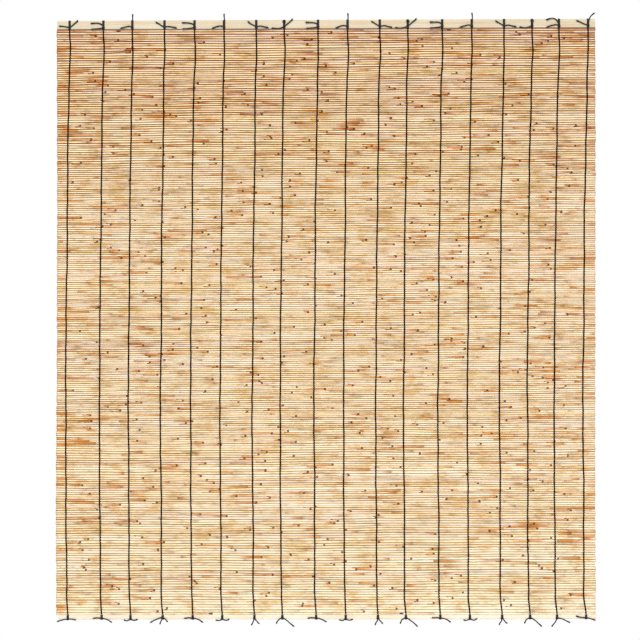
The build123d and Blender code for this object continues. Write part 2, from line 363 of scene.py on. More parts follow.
class StageProperties(bpy.types.PropertyGroup):
    """Camera, lamps and floor"""

    distance: FloatProperty(
        name="Camera distance", description="From the camera to the blind", unit="LENGTH", default=4.5
    )
    roll: FloatProperty(
        name="Camera roll", description="Turn of the picture", subtype="ANGLE", default=math.radians(0.14)
    )
    yaw: FloatProperty(
        name="Camera yaw",
        description="How far right the camera stands",
        subtype="ANGLE",
        default=math.radians(0.7),
    )
    key_power: FloatProperty(name="Key lamp", description="Power of the front lamp in watts", default=92.0)
    fill_power: FloatProperty(name="Back lamp", description="Power of the rear lamp in watts", default=34.0)
    sky: FloatProperty(name="Sky", description="Strength of the light from all round", default=0.5)
    drop: FloatProperty(
        name="Floor drop", description="From the blind's foot to the floor", unit="LENGTH", default=0.3
    )
    floor: colour_property("Floor", "The floor", 236, 234, 230)


def linear(colour):
    """Screen colour to light: below 0.04045 a twelfth, above it a power of 2.4."""
    value = np.array(colour, dtype=float)
    return np.where(value <= 0.04045, value / 12.92, ((value + 0.055) / 1.055) ** 2.4)


def lean_at(z):
    """A twine's sideways shift at height z: the listed shifts, joined by straight lines."""
    share = (TOP_HINGE_Z - z) / (TOP_HINGE_Z - FOOT_HINGE_Z)
    return np.interp(share, LEAN_SHARES, LEAN_SHIFTS)


def smooth_step(value):
    """Zero below 0, one above 1, and 3t² − 2t³ between."""
    t = np.clip(value, 0.0, 1.0)
    return t * t * (3 - 2 * t)


def away_from_ends(z, top, foot, reach):
    """Zero at two heights, one where both are at least the reach away, and a smooth step between."""
    return smooth_step((top - z) / reach) * smooth_step((z - foot) / reach)


def around(count):
    """Evenly spaced angles of one full turn, in radians."""
    return 2 * np.pi * np.arange(count) / count


def unit(vectors):
    """Each vector divided by its own length."""
    return vectors / np.linalg.norm(vectors, axis=-1, keepdims=True)


def tube_mesh(name, rings, closed=False, along=None):
    """Tubes from points [tube, ring, side]: a quad joins sides k and k + 1 of rings j and j + 1.

    An open tube has a flat polygon over its first and last ring, and a closed one joins its last
    ring to its first. Where the volume they hold comes out below zero, the faces are turned round.
    along, [tube, ring] in metres, becomes the u of a UV map, with v round the tube.
    """
    count, length, sides = rings.shape[:3]
    index = np.arange(count * length * sides).reshape(count, length, sides)
    ahead = np.roll(index, -1, axis=1)
    span = slice(None) if closed else slice(0, length - 1)
    beside, ahead_beside = np.roll(index, -1, axis=2), np.roll(ahead, -1, axis=2)
    quads = np.stack([index, beside, ahead_beside, ahead], axis=-1)[:, span].reshape(-1, 4)
    groups = [quads]
    if not closed:
        groups += [index[:, 0, ::-1], index[:, -1]]
    points = rings.reshape(-1, 3)
    a, b, c, d = (points[quads[:, k]] for k in range(4))
    normals = np.cross(b - a, c - a) + np.cross(c - a, d - a)
    inside_out = np.einsum("ij,ij->", normals, a) < 0
    if inside_out:
        groups = [group[:, ::-1] for group in groups]
    mesh = bpy.data.meshes.new(name)
    mesh.vertices.add(len(points))
    mesh.vertices.foreach_set("co", points.astype(np.float32).ravel())
    loops = np.concatenate([group.ravel() for group in groups])
    sizes = np.concatenate([np.full(len(group), group.shape[1]) for group in groups])
    mesh.loops.add(len(loops))
    mesh.loops.foreach_set("vertex_index", loops.astype(np.int32))
    mesh.polygons.add(len(sizes))
    mesh.polygons.foreach_set("loop_start", (np.cumsum(sizes) - sizes).astype(np.int32))
    mesh.polygons.foreach_set("use_smooth", np.arange(len(sizes)) < len(quads))
    mesh.update(calc_edges=True)
    if along is not None:
        round_tube = np.broadcast_to(np.arange(sides) / sides, index.shape)
        past_seam = np.broadcast_to(np.arange(1, sides + 1) / sides, index.shape)
        near = np.broadcast_to(along[..., None], index.shape)
        far = np.roll(near, -1, axis=1)
        v = np.stack([round_tube, past_seam, past_seam, round_tube], axis=-1)[:, span].reshape(-1, 4)
        u = np.stack([near, near, far, far], axis=-1)[:, span].reshape(-1, 4)
        if inside_out:
            u, v = u[:, ::-1], v[:, ::-1]
        chart = np.zeros((len(loops), 2))
        chart[: quads.size, 0] = u.ravel()
        chart[: quads.size, 1] = v.ravel()
        mesh.uv_layers.new(name="Strand").data.foreach_set("uv", chart.astype(np.float32).ravel())
    return mesh


def sweep(paths, reference, half_width, half_thickness, sides, closed=False):
    """Carries an ellipse along paths [tube, ring]: half_thickness lies along the reference direction.

    A ring's point is the path plus thickness times cosine along the outward normal plus width
    times sine along the sideways one. The normal is the reference less its part along the path.
    """
    if closed:
        tangent = unit(np.roll(paths, -1, axis=1) - np.roll(paths, 1, axis=1))
    else:
        tangent = unit(np.gradient(paths, axis=1))
    reference = np.broadcast_to(reference, paths.shape)
    sideways = unit(np.cross(tangent, reference))
    outward = np.cross(sideways, tangent)
    angle = around(sides)
    width = np.broadcast_to(half_width, paths.shape[:2] + (sides,))[..., None]
    thickness = np.broadcast_to(half_thickness, paths.shape[:2] + (sides,))[..., None]
    across = np.sin(angle)[:, None] * sideways[..., None, :] * width
    out = np.cos(angle)[:, None] * outward[..., None, :] * thickness
    return paths[..., None, :] + across + out


def lengths_along(paths):
    """Distance from the start of each path to each of its points."""
    steps = np.linalg.norm(np.diff(paths, axis=1), axis=-1)
    return np.concatenate([np.zeros((len(paths), 1)), np.cumsum(steps, axis=1)], axis=1)


def add_point_data(mesh, name, values):
    """Stores one number or one colour for each vertex."""
    if values.ndim == 1:
        mesh.attributes.new(name, "FLOAT", "POINT").data.foreach_set("value", values.astype(np.float32))
    else:
        full = np.concatenate([values, np.ones((len(values), 1))], axis=1)
        layer = mesh.color_attributes.new(name, "FLOAT_COLOR", "POINT")
        layer.data.foreach_set("color", full.astype(np.float32).ravel())


def place(mesh, material, body, slot, *nodes):
    """Makes a piece of a mesh, with its finish, the body it rides on and the nodes it stands for."""
    piece = bpy.data.objects.new(mesh.name, mesh)
    bpy.context.scene.collection.objects.link(piece)
    mesh.materials.append(material)
    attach(piece, body)
    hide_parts(*nodes)
    return piece


def joined(name, meshes):
    """One mesh of several, with their UV maps and vertex data kept."""
    holders = [bpy.data.objects.new(mesh.name, mesh) for mesh in meshes]
    for holder in holders:
        bpy.context.scene.collection.objects.link(holder)
    with bpy.context.temp_override(active_object=holders[0], selected_editable_objects=holders):
        bpy.ops.object.join()
    mesh = holders[0].data
    bpy.data.objects.remove(holders[0])
    mesh.name = name
    return mesh


class Nodes:
    """A material's node tree, with short ways to add and link nodes."""

    def __init__(self, name, roughness=0.5):
        self.material = bpy.data.materials.new(name)
        self.material.use_nodes = True
        self.tree = self.material.node_tree
        self.shader = self.tree.nodes["Principled BSDF"]
        self.shader.inputs["Roughness"].default_value = roughness

    def add(self, kind, inputs=(), **settings):
        """Adds a node with its settings, and links or sets its inputs by name or number."""
        node = self.tree.nodes.new(kind)
        for key, value in settings.items():
            setattr(node, key, value)
        for key, value in dict(inputs).items():
            if isinstance(value, bpy.types.NodeSocket):
                self.tree.links.new(value, node.inputs[key])
            else:
                node.inputs[key].default_value = value
        return node

    def link(self, socket, name):
        """Links a socket to one of the shader's inputs."""
        self.tree.links.new(socket, self.shader.inputs[name])

    def object_place(self, scale, shift=None):
        """Object coordinates times a scale, after an optional shift.

        The scale is a noise's cycles a metre along X, Y and Z.
        """
        where = self.add("ShaderNodeTexCoord").outputs["Object"]
        if shift is not None:
            where = self.add("ShaderNodeVectorMath", {0: where, 1: shift}, operation="ADD").outputs[0]
        return self.add("ShaderNodeMapping", {"Vector": where, "Scale": scale}).outputs[0]

    def noise(self, vector, detail=3.0, roughness=0.55):
        """Noise at the given coordinates, from 0 to 1."""
        inputs = {"Vector": vector, "Scale": 1.0, "Detail": detail, "Roughness": roughness}
        return self.add("ShaderNodeTexNoise", inputs).outputs["Fac"]

    def stretch(self, value, from_low, from_high, to_low, to_high):
        """A value carried from one range to another and held inside it."""
        inputs = {
            "Value": value,
            "From Min": from_low,
            "From Max": from_high,
            "To Min": to_low,
            "To Max": to_high,
        }
        return self.add("ShaderNodeMapRange", inputs).outputs["Result"]

    def mix(self, factor, first, second, blend="MIX"):
        """Two colours mixed."""
        inputs = {0: factor, 6: first, 7: second}
        return self.add("ShaderNodeMix", inputs, data_type="RGBA", blend_type=blend).outputs[2]

    def grey(self, value):
        """A colour with all three parts equal to a value."""
        return self.add("ShaderNodeCombineColor", {0: value, 1: value, 2: value}).outputs[0]

    def bump(self, height, strength, distance):
        """A bump from a height, linked to the shader."""
        inputs = {"Height": height, "Strength": strength, "Distance": distance}
        self.link(self.add("ShaderNodeBump", inputs).outputs[0], "Normal")


def rgba(colour):
    """A screen colour as a node's four light values."""
    return (*linear(colour), 1.0)


def reed_material():
    """Satin reed: each stem's own colour and painted valley shade, drawn out into fibres, flecks and
    blotches along it.
    """
    m = Nodes("natural_reed")
    m.shader.inputs["Specular IOR Level"].default_value = 0.2
    # stem_colour holds each stem's own colour times the painted shade of the valleys between courses
    own = m.add("ShaderNodeAttribute", attribute_name="stem_colour").outputs["Color"]
    seed = m.add("ShaderNodeAttribute", attribute_name="stem_seed").outputs["Fac"]
    shift = m.add("ShaderNodeCombineXYZ", {"X": seed, "Y": 0.0, "Z": seed}).outputs[0]
    fibres = m.noise(m.object_place((9.0, 1500.0, 1500.0), shift), 4.0, 0.65)
    own_blotches = m.noise(m.object_place((70.0, 240.0, 240.0), shift), 4.0, 0.6)
    clouds = m.noise(m.object_place((22.0, 50.0, 50.0)), 3.0)
    blotches = m.add("ShaderNodeMath", {0: own_blotches, 1: clouds}, operation="ADD").outputs[0]
    flecks = m.noise(m.object_place((260.0, 1800.0, 1800.0), shift), 2.0)
    shade = m.stretch(fibres, 0.3, 0.7, 0.86, 1.08)
    colour = m.mix(1.0, own, m.grey(shade), "MULTIPLY")
    warm = m.mix(1.0, colour, (0.82, 0.68, 0.44, 1.0), "MULTIPLY")
    colour = m.mix(m.stretch(blotches, 0.97, 1.2, 0.0, 1.0), colour, warm)
    dark = m.mix(1.0, colour, (0.5, 0.36, 0.24, 1.0), "MULTIPLY")
    colour = m.mix(m.stretch(flecks, 0.68, 0.78, 0.0, 0.6), colour, dark)
    m.link(colour, "Base Color")
    m.link(m.stretch(fibres, 0.3, 0.7, 0.42, 0.6), "Roughness")
    m.bump(fibres, 0.35, 0.0002)
    return m.material


def lath_material(name, pale, dark, shaded_edge=None):
    """Planed pale wood: long grain of two tones, a few darker hairs, and a faint bump.

    The last argument, if any, is the pair of heights between which painted shade along the lath's lower
    edge fades out.
    """
    m = Nodes(name)
    grain = m.noise(m.object_place((5.0, 260.0, 260.0)), 4.0, 0.6)
    hairs = m.noise(m.object_place((16.0, 2400.0, 2400.0)), 3.0, 0.6)
    patches = m.noise(m.object_place((13.0, 20.0, 20.0)), 2.0)
    colour = m.mix(m.stretch(grain, 0.35, 0.65, 0.0, 1.0), rgba(pale), rgba(dark))
    colour = m.mix(1.0, colour, m.grey(m.stretch(hairs, 0.3, 0.7, 0.86, 1.06)), "MULTIPLY")
    rosy = m.mix(1.0, colour, (1.0, 0.93, 0.88, 1.0), "MULTIPLY")
    colour = m.mix(m.stretch(patches, 0.45, 0.6, 0.0, 1.0), colour, rosy)
    if shaded_edge:
        # Painted shade along the lower edge
        height = m.add("ShaderNodeSeparateXYZ", {0: m.object_place((1.0, 1.0, 1.0))}).outputs["Z"]
        shaded = m.mix(1.0, colour, (0.2, 0.13, 0.07, 1.0), "MULTIPLY")
        colour = m.mix(m.stretch(height, *shaded_edge, 1.0, 0.0), colour, shaded)
    m.link(colour, "Base Color")
    m.link(m.stretch(hairs, 0.3, 0.7, 0.5, 0.68), "Roughness")
    m.bump(hairs, 0.3, 0.0002)
    return m.material


def twine_material(black):
    """Matt black twine: two plies wound round each other as slanting ridges, with painted shade in the
    grooves between them, and fine fibres.
    """
    m = Nodes("black_twine", 0.8)
    m.shader.inputs["Specular IOR Level"].default_value = 0.03
    chart = m.add("ShaderNodeUVMap", uv_map="Strand").outputs[0]
    parts = m.add("ShaderNodeSeparateXYZ", {0: chart})
    to_turns = {0: parts.outputs["X"], 1: 1 / PLY_LENGTH}
    turns = m.add("ShaderNodeMath", to_turns, operation="MULTIPLY").outputs[0]
    phase = m.add("ShaderNodeMath", {0: parts.outputs["Y"], 1: turns}, operation="ADD").outputs[0]
    angle = m.add("ShaderNodeMath", {0: phase, 1: 4 * math.pi}, operation="MULTIPLY").outputs[0]
    plies = m.add("ShaderNodeMath", {0: angle}, operation="SINE").outputs[0]
    ridge = m.stretch(plies, -1.0, 1.0, 0.0, 1.0)
    fibres = m.noise(m.object_place((2600.0, 2600.0, 1500.0)), 3.0)
    # The grooves between the plies are painted darker: painted shade
    colour = m.mix(ridge, rgba([0.55 * part for part in black]), rgba(black))
    colour = m.mix(1.0, colour, m.grey(m.stretch(fibres, 0.3, 0.7, 0.6, 1.5)), "MULTIPLY")
    m.link(colour, "Base Color")
    height = m.add("ShaderNodeMath", {0: ridge, 1: fibres}, operation="ADD").outputs[0]
    m.bump(height, 0.6, 0.0002)
    return m.material


def course_places(reed):
    """The height of every course and half its thickness, from the top down.

    Half its thickness is half the pitch times one plus random unevenness, and changes down the mat.
    Each course touches the next: steps are the sums of neighbouring halves, scaled together to fill
    the height between the hinge lines, less the courses' setback.
    """
    rng = np.random.default_rng(reed.seed)
    height = TOP_HINGE_Z - FOOT_HINGE_Z - 2 * COURSE_SETBACK
    count = int(round(height / reed.pitch))
    unevenness = np.clip(rng.standard_normal(count), -MOST_UNEVEN, MOST_UNEVEN)
    radii = reed.pitch / 2 * (1 + reed.unevenness * unevenness)
    radii *= np.interp(np.linspace(0, 1, count), *THICKNESS_BY_DROP)
    radii[[0, -1]] = reed.pitch / 2
    steps = radii[:-1] + radii[1:]
    steps *= (height - radii[0] - radii[-1]) / steps.sum()
    places = TOP_HINGE_Z - COURSE_SETBACK - radii[0] - np.concatenate([[0.0], np.cumsum(steps)])
    return places, radii


def sway(x, z):
    """How far the courses stray up or down at a place: a slope and slow waves, nought at both slats."""
    stray = MAT_SLOPE * x
    for height, across, up, start in MAT_WAVES:
        stray = stray + height * np.sin(across * x + up * z + start)
    return stray * away_from_ends(z, MAT_HIGH[2], MAT_LOW[2], MAT_CALM)


def stem_spans(count, reed, rng):
    """Where every stem starts and ends: one row for each stem, with its course.

    Lengths are drawn evenly between the shortest and the longest and laid end to end from a
    random start left of the mat. What lies outside is cut off at the mat's sides.
    """
    edge = MAT_HIGH[0]
    draws = rng.uniform(reed.shortest, reed.longest, (count, MOST_STEMS))
    ends = -edge - rng.uniform(0.0, reed.longest, (count, 1)) + np.cumsum(draws, axis=1)
    inner = (ends > -edge + SHORTEST_PIECE) & (ends < edge - SHORTEST_PIECE)
    course, column = np.nonzero(inner)
    cuts = ends[course, column]
    starts = np.concatenate([cuts, np.full(count, -edge)])
    rows = np.concatenate([course, np.arange(count)])
    order = np.lexsort((starts, rows))
    starts, rows = starts[order], rows[order]
    stops = np.append(starts[1:], edge)
    stops[np.append(rows[1:] != rows[:-1], True)] = edge
    return rows, starts, stops


class Stems(NamedTuple):
    """The stems' places and shapes: arrays with one row for each stem, in metres."""

    course: np.ndarray  # the number of its course, from the top
    drop: np.ndarray  # how far down the mat it lies, from 0 to 1
    at_left: np.ndarray  # whether it ends at the mat's left side
    at_right: np.ndarray  # whether it ends at the mat's right side
    along: np.ndarray  # each ring's distance from the left end
    length: np.ndarray
    sheath_gap: np.ndarray  # each ring's distance past the start of each sheath
    sheath_reach: np.ndarray
    rings: np.ndarray  # the points of its surface


def stem_shapes(reed, rng):
    """Every stem's place and points.

    A stem is a tube along X. Its section is an ellipse, thinner towards the tip. Where two stems
    of a course meet they lap: one slips to the front and the other to the back, one up and the
    other down, each thinned, over a smooth step. Cut ends turn in to a hollow. The first and the
    last course lie straight and have no laps.
    """
    places, radii = course_places(reed)
    course, start, stop = stem_spans(len(places), reed, rng)
    stems = len(course)
    edge = MAT_HIGH[0]
    at_left, at_right = start <= -edge, stop >= edge
    outermost = (course == 0) | (course == len(places) - 1)
    loose = np.where(outermost, 0.0, 1.0)[:, None]
    lap = rng.uniform(*LAPS, stems) * loose[:, 0]
    ragged = rng.uniform(-RAGGEDNESS, RAGGEDNESS, (2, stems))
    drop = (MAT_HIGH[2] - places[course]) / (MAT_HIGH[2] - MAT_LOW[2])
    overhang = LEFT_OVERHANG + FOOT_OVERHANG * smooth_step((drop - OVERHANG_FROM) / OVERHANG_RUN)
    shift = np.interp(drop, *SIDE_SHIFT_BY_DROP)
    begin = np.where(at_left, start - overhang + ragged[0], start - lap) + shift
    finish = np.where(at_right, stop + ragged[1], stop) + shift
    length = finish - begin

    # The rings of a stem: even ones, some near its ends, at its nodes and at its sheaths' far ends
    even = EVEN_RINGS * length[:, None]
    left_tips = np.broadcast_to(TIP_RINGS, (stems, len(TIP_RINGS)))
    tips = np.concatenate([left_tips, length[:, None] - TIP_RINGS], axis=1)
    node = rng.uniform(*NODE_PLACES, (stems, 2)) * length[:, None]
    direction = rng.choice([-1.0, 1.0], (stems, 2))
    node_rings = np.concatenate([node - NODE_HALF_WIDTH, node + NODE_HALF_WIDTH], axis=1)
    origins = np.concatenate([np.zeros((stems, 1)), node, length[:, None]], axis=1)
    ways = np.concatenate([np.ones((stems, 1)), direction, -np.ones((stems, 1))], axis=1)
    reach = SHEATH_SHORTEST + SHEATH_EXTRA * rng.uniform(0, 1, (stems, SHEATHS)) ** SHEATH_RARITY
    sheath_rings = np.clip(origins + ways * reach, MM, length[:, None] - MM)
    along = np.sort(np.concatenate([even, tips, node_rings, sheath_rings], axis=1), axis=1)
    x = begin[:, None] + along
    share = along / length[:, None]
    gap = (along[..., None] - origins[:, None, :]) * ways[:, None, :]

    # Thickness, laps and the mat's slow waves
    radius = radii[course][:, None] * reed.height_swell * (STEM_THICK_END - STEM_TAPER * share)
    near_left = smooth_step(1 - along / rng.uniform(*LAP_REACHES, (stems, 1))) * ~at_left[:, None]
    near_right = smooth_step(1 - (length[:, None] - along) / rng.uniform(*LAP_REACHES, (stems, 1)))
    near_right = near_right * ~at_right[:, None]
    tilt = rng.choice([-1.0, 1.0], stems)
    tilt_left = np.concatenate([[1.0], tilt[:-1]])
    up = LAP_RISE * loose * (tilt[:, None] * near_right - tilt_left[:, None] * near_left)
    out = LAP_DEPTH * loose * (near_right - near_left)
    thin = 1 - LAP_THINNING * np.maximum(near_left, near_right)
    bow = STEM_BOW * np.sin(np.pi * share + rng.uniform(0, 6, (stems, 1)))
    z = places[course][:, None] + up + bow * loose
    z = z + sway(x, z)
    y = MIDDLE_Y - out
    swell = loose * np.exp(-(((along[..., None] - node[:, None, :]) / NODE_REACH) ** 2)).sum(axis=-1)
    tall = radius * thin * (1 + NODE_SWELL * swell)
    deep = reed.depth_radius * thin * (1 + NODE_SWELL * swell)

    # The cut ends: a rim, then a hollow that goes in
    hollow = np.array(HOLLOW_DEPTHS)
    x = np.concatenate([x[:, :1] + hollow, x, x[:, -1:] - hollow[::-1]], axis=1)

    def with_ends(values, factors):
        first, last = values[:, :1] * factors, values[:, -1:] * factors[::-1]
        return np.concatenate([first, values, last], axis=1)

    same, inward = np.ones(2), np.array(HOLLOW_SHARES)
    y, z = with_ends(y, same)[..., None], with_ends(z, same)[..., None]
    tall, deep = with_ends(tall, inward)[..., None], with_ends(deep, inward)[..., None]
    angle = around(STEM_SIDES)
    x = np.broadcast_to(x[..., None], x.shape + (STEM_SIDES,))
    rings = np.stack([x, y - deep * np.cos(angle), z + tall * np.sin(angle)], axis=-1)
    return Stems(course, drop, at_left, at_right, along, length, gap, reach, rings)


def stem_colours(reed, stems, rng):
    """A colour for every ring of every stem.

    It is the stem's own, mixed with a sheath colour that starts sharply at a node or an end and
    fades out along the stem by the cube of the distance. Nodes are darker. Cut ends and their
    hollows take the cut colour: partly the cut's own darker colour, partly painted shade.
    """
    count = len(stems.course)
    palette = np.array([linear(c) for c in (reed.cream, reed.straw, reed.tan, reed.rose)])
    weight = rng.dirichlet(PALETTE_WEIGHTS, count)
    base = weight @ palette * rng.uniform(*BRIGHTNESSES, (count, 1))
    # Darker and more tan towards the top, paler towards the foot
    base = base * np.interp(stems.drop, *TONE_BY_DROP)[:, None]
    paleness = np.interp(stems.drop, *PALENESS_BY_DROP)[:, None]
    toward = np.where(paleness > 0, linear(reed.paler_foot), linear(reed.tan))
    base = base + np.abs(paleness) * (toward - base)
    rust = rng.uniform(0, 1, (count, SHEATHS, 1)) ** RUST_RARITY
    rust = rust * np.interp(stems.drop, *RUST_BY_DROP)[:, None, None]
    sheath = linear(reed.orange) + rust * (linear(reed.rust) - linear(reed.orange))
    chance = np.array(SHEATH_CHANCES) * np.interp(stems.drop, *SHEATHS_BY_DROP)[:, None]
    chance[:, 0] *= np.where(stems.at_left, SHEATH_AT_SIDE, 1.0)
    chance[:, -1] *= np.where(stems.at_right, SHEATH_AT_SIDE, 1.0)
    has_sheath = rng.uniform(0, 1, (count, SHEATHS)) < chance
    strength = has_sheath * rng.uniform(*SHEATH_STRENGTHS, (count, SHEATHS))
    fade = np.clip(SHEATH_FULL - (stems.sheath_gap / stems.sheath_reach[:, None, :]) ** 3, 0, 1)
    cover = np.clip((stems.sheath_gap >= 0) * fade * strength[:, None, :], 0, 1)
    colour = np.broadcast_to(base[:, None, :], stems.along.shape + (3,))
    for k in range(SHEATHS):
        colour = colour + cover[..., k, None] * (sheath[:, None, k] - colour)
    node = np.exp(-((stems.sheath_gap[..., 1:3] / NODE_LINE) ** 2)).max(axis=-1)
    colour = colour * (1 - NODE_DARKNESS * node[..., None])
    # Cut ends: partly their own darker colour, partly painted shade where one stem laps another
    tip = np.maximum(
        (stems.along < CUT_LENGTH) * ~stems.at_left[:, None],
        (stems.along > stems.length[:, None] - CUT_LENGTH) * ~stems.at_right[:, None],
    )
    cut = linear(reed.cut)
    colour = colour + CUT_AND_SHADE_DARKNESS * tip[..., None] * (cut - colour)
    # The hollow in each end: painted shade
    inside = np.broadcast_to(cut, (count, 2, 3))
    return np.concatenate([inside, colour, inside], axis=1)


def painted_valley_shade(stems, rng):
    """Painted shade in the valleys between courses: what it leaves of red, green and blue, for each side of
    every stem.

    The shade is a power of the sine of the angle round the stem, times a depth that changes down
    the mat and a luck that each valley has for itself.
    """
    angle = around(STEM_SIDES)
    sharpness = np.interp(stems.drop, *SHARPNESS_BY_DROP)
    valley = np.abs(np.sin(angle)) ** sharpness[:, None]
    depth = np.interp(stems.drop, *PAINTED_SHADE_BY_DROP)[:, None]
    luck = rng.uniform(*VALLEY_LUCK, stems.course.max() + 2)
    luck = np.where(np.sin(angle) > 0, luck[stems.course][:, None], luck[stems.course + 1][:, None])
    shade = np.clip(depth * valley * luck, 0, MOST_SHADE)
    return 1 - np.clip(shade[..., None] * np.array(VALLEY_TINT), 0, MOST_TINTED_SHADE)


def twine_paths(reed, twine):
    """Both strands of every twine, as paths [twine, strand, ring].

    A strand passes in front of one course and behind the next: its depth goes as the cosine of
    half a turn a course, flattened so that it hugs the stem, and it swings sideways as the sine.
    The two strands are half a turn apart, and cross beside the hinge lines.
    """
    rng = np.random.default_rng(twine.seed)
    places, _ = course_places(reed)
    turn = np.arange(RINGS_A_COURSE * len(places) + 1) / RINGS_A_COURSE - 0.5
    known = np.concatenate([[-0.5], np.arange(len(places)), [len(places) - 0.5]])
    ends = TOP_HINGE_Z - TWINE_SETBACK, FOOT_HINGE_Z + TWINE_SETBACK
    z = np.interp(turn, known, np.concatenate([[ends[0]], places, [ends[1]]]))
    phase = np.pi * (turn + np.array([0.0, 1.0])[:, None])
    cosine = np.cos(phase)
    hugging = np.sign(cosine) * np.abs(cosine) ** STRAND_SQUARENESS
    depth = hugging * (reed.depth_radius + STRAND_STAND_OFF * twine.half_thickness)
    stray = np.zeros((len(TWINE_X), len(z)))
    for wave in TWINE_WAVES:
        start = rng.uniform(0, 2 * np.pi, (len(TWINE_X), 1))
        size = rng.uniform(*TWINE_WAVE_SIZES, (len(TWINE_X), 1)) * twine.wobble / wave**0.5
        stray += size * np.sin(2 * np.pi * wave * (TOP_HINGE_Z - z) + start)
    calm = away_from_ends(z, TOP_HINGE_Z, FOOT_HINGE_Z, TWINE_CALM)
    fall = TOP_HINGE_Z - z
    bow = BOW * calm * np.exp(-(((fall - BOW_DROP) / BOW_REACH) ** 2))
    rightmost = np.clip(TWINE_X / SLAT_HIGH[0], 0, 1)[:, None] ** 2
    gathered = GATHERING * rightmost * smooth_step(fall / GATHERING_DROP) * calm
    middle = TWINE_X[:, None] + lean_at(z) + stray * calm + bow - gathered
    x = middle[:, None] + twine.twist * np.sin(phase)
    y = np.broadcast_to(MIDDLE_Y - depth, x.shape)
    return np.stack([x, y, z + sway(x, z)], axis=-1)


def round_the_lath(low, high, x, corner_rings=5):
    """Closed turns of twine round a lath, one for each x.

    The path is a rounded rectangle about the lath's section: four quarter circles, joined by
    straight runs down the faces.
    """
    stand_off = LOOP_HEIGHT - LOOP_SEAT
    radius = LATH_EDGE_RADIUS + stand_off
    half = (high[1] - low[1]) / 2 + stand_off - radius
    top, bottom = high[2] + stand_off - radius, low[2] - stand_off + radius
    quarter = np.linspace(0, np.pi / 2, corner_rings)
    angle = np.concatenate([quarter + k * np.pi / 2 for k in range(4)])
    centre_y = MIDDLE_Y + half * np.repeat([1.0, -1.0, -1.0, 1.0], corner_rings)
    centre_z = np.repeat([top, top, bottom, bottom], corner_rings)
    y, z = centre_y + radius * np.cos(angle), centre_z + radius * np.sin(angle)
    x = np.array(x)[:, None]
    return np.stack(np.broadcast_arrays(x, y, z), axis=-1)


def knot_path(centre, turn, size, rings=54):
    """A tight overhand knot: a trefoil wound three times round a ring while it goes round it twice.

    The point is (R + r cos 3t) from the axis at angle 2t, and r sin 3t off the plane.
    """
    t = around(rings)
    big, small = KNOT_RING * size, KNOT_WINDING * size
    away = big + small * np.cos(3 * t)
    flat = np.stack([away * np.cos(2 * t), small * np.sin(3 * t), away * np.sin(2 * t)], axis=-1)
    lean = np.cos(3 * t)
    outward = np.stack([lean * np.cos(2 * t), np.sin(3 * t), lean * np.sin(2 * t)], axis=-1)
    spin = np.array([[math.cos(turn), 0, math.sin(turn)], [0, 1, 0], [-math.sin(turn), 0, math.cos(turn)]])
    return (flat @ spin.T + centre)[None], (outward @ spin.T)[None]


def tail_paths(knot, tails, rng, rings=34):
    """The cut ends from a knot, as paths [tail, ring].

    Each is the mean of the knot, the bend and the end, weighted (1 − t)², 2pt(1 − t) and t², where p
    is the pull of the bend. It has a slight wave across it, and lifts off the lath by the square of
    t, with a ripple.
    """
    t = np.linspace(0, 1, rings)[:, None]
    paths = []
    for bend, end in tails:
        start = np.array(knot)
        middle, last = (start + np.array([side, 0.0, up]) * MM for side, up in (bend, end))
        weights = (1 - t) ** 2, 2 * TAIL_PULL * t * (1 - t), t**2
        path = (weights[0] * start + weights[1] * middle + weights[2] * last) / sum(weights)
        run = last - start
        across = np.array([-run[2], 0.0, run[0]]) / np.linalg.norm(run)
        start_angle = rng.uniform(0, 2 * np.pi)
        path = path + across * TAIL_WAVE * np.sin(2 * np.pi * TAIL_WAVE_TURNS * t + start_angle) * t
        lift = rng.uniform(*TAIL_LIFTS) * MM
        ripple = TAIL_RIPPLE * np.sin(TAIL_RIPPLE_ANGLE * t[:, 0] + start_angle)
        path[:, 1] -= lift * t[:, 0] ** 2 + ripple
        paths.append(path)
    return np.array(paths)


def frayed_ends(paths, rng, fibres=5, rings=4):
    """Loose fibres past the cut ends, as paths: straight on, spreading by the square of the share."""
    ends = np.repeat(paths[:, -1], fibres, axis=0)
    way = np.repeat(unit(paths[:, -1] - paths[:, -4]), fibres, axis=0)
    spread = rng.uniform(-1, 1, (len(ends), 1, 3)) * FIBRE_SPREAD
    reach = rng.uniform(*FIBRE_LENGTHS, (len(ends), 1, 1)) * MM
    t = np.linspace(0, 1, rings)[None, :, None]
    offset = rng.uniform(-1, 1, (len(ends), 1, 3)) * FIBRE_OFFSET
    ends, way = ends[:, None], way[:, None]
    return ends + offset + way * (reach * t - FIBRE_ROOT) + spread * t**2


def knot_mesh(name, centre, size, rng):
    """One tight knot of a given size about a centre, turned at random."""
    path, outward = knot_path(centre, rng.uniform(0, 2 * np.pi), size)
    surface = sweep(path, outward, *KNOT_TWINE, sides=7, closed=True)
    return tube_mesh(name, surface, closed=True, along=lengths_along(path))


